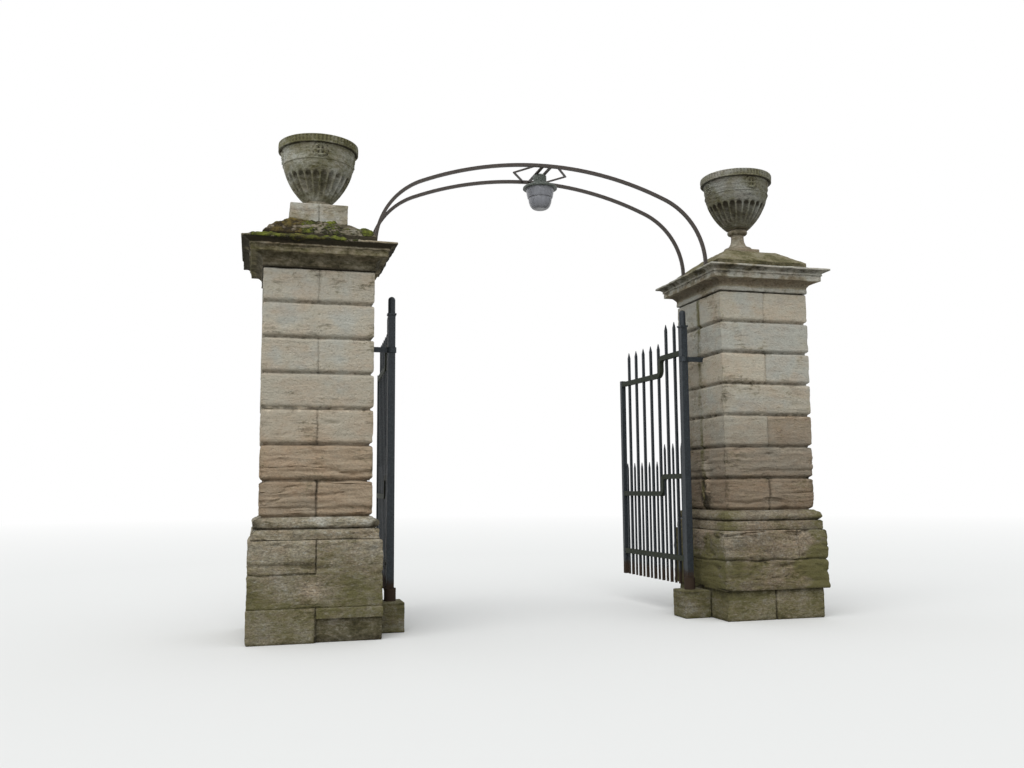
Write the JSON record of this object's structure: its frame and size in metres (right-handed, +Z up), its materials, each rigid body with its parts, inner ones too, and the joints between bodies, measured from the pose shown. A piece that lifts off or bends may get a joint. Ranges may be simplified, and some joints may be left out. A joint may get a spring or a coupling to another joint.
{
  "type": "gate with gate piers",
  "caption": "Classical stone gate piers with urns, hinged iron gate leaves and an iron overthrow arch carrying a hanging lamp.",
  "frame": {"origin": "on the ground under the middle of the whole object, with the leaves open as they rest", "axes": "+X across the gateway towards the right pier, +Y inwards, the way the leaves stand open, +Z up"},
  "size_m": [5.617, 2.0598, 4.465],
  "materials": {
    "plinth_stone": "weathered sandstone with algae",
    "shaft_stone": "weathered buff sandstone",
    "cornice_stone": "weathered buff sandstone",
    "cap_stone": "mossy sandstone",
    "urn_stone": "lichened carved stone",
    "gate_iron": "weathered black paint",
    "rusty_iron": "rusted",
    "arch_iron": "weathered dark paint",
    "lamp_metal": "weathered grey-green paint",
    "lamp_glass": "milky glass"
  },
  "bodies": {
    "gateway": {"left_foot_course": "plinth_stone", "left_plinth": "plinth_stone", "left_base_mould": "plinth_stone", "left_shaft": "shaft_stone", "left_cornice": "cornice_stone", "left_cap": "cap_stone", "left_pivot_stone": "plinth_stone", "left_pivot_cup": "rusty_iron", "left_top_strap": "gate_iron", "right_foot_course": "plinth_stone", "right_plinth": "plinth_stone", "right_base_mould": "plinth_stone", "right_shaft": "shaft_stone", "right_cornice": "cornice_stone", "right_cap": "cap_stone", "right_pivot_stone": "plinth_stone", "right_pivot_cup": "rusty_iron", "right_top_strap": "gate_iron", "left_urn_block": "cap_stone", "left_urn_foot": "urn_stone", "left_urn_bowl": "urn_stone", "right_urn_slab": "cap_stone", "right_urn_stem": "urn_stone", "right_urn_bowl": "urn_stone", "front_arch": "arch_iron", "back_arch": "arch_iron", "arch_shoes": "arch_iron", "cross_ties": "arch_iron", "lamp_housing": "lamp_metal", "lamp_canopy": "lamp_metal", "lamp_globe": "lamp_glass"},
    "left_leaf": {"left_heel_stile": "gate_iron", "left_meeting_stile": "gate_iron", "left_upper_rail": "gate_iron", "left_lock_rail": "gate_iron", "left_bottom_rail": "gate_iron", "left_bars": "gate_iron", "left_dog_bars": "gate_iron"},
    "right_leaf": {"right_heel_stile": "gate_iron", "right_meeting_stile": "gate_iron", "right_upper_rail": "gate_iron", "right_lock_rail": "gate_iron", "right_bottom_rail": "gate_iron", "right_bars": "gate_iron", "right_dog_bars": "gate_iron"}
  },
  "joints": [
    {"name": "left_leaf_hinge", "type": "hinge", "parent": "gateway", "child": "left_leaf", "pos_m": [-1.4655, -0.4289, 2], "axis": [0, 0, -1], "range_deg": [0, 87]},
    {"name": "right_leaf_hinge", "type": "hinge", "parent": "gateway", "child": "right_leaf", "pos_m": [1.4655, -0.4289, 2], "axis": [0, 0, 1], "range_deg": [0, 87]}
  ]
}
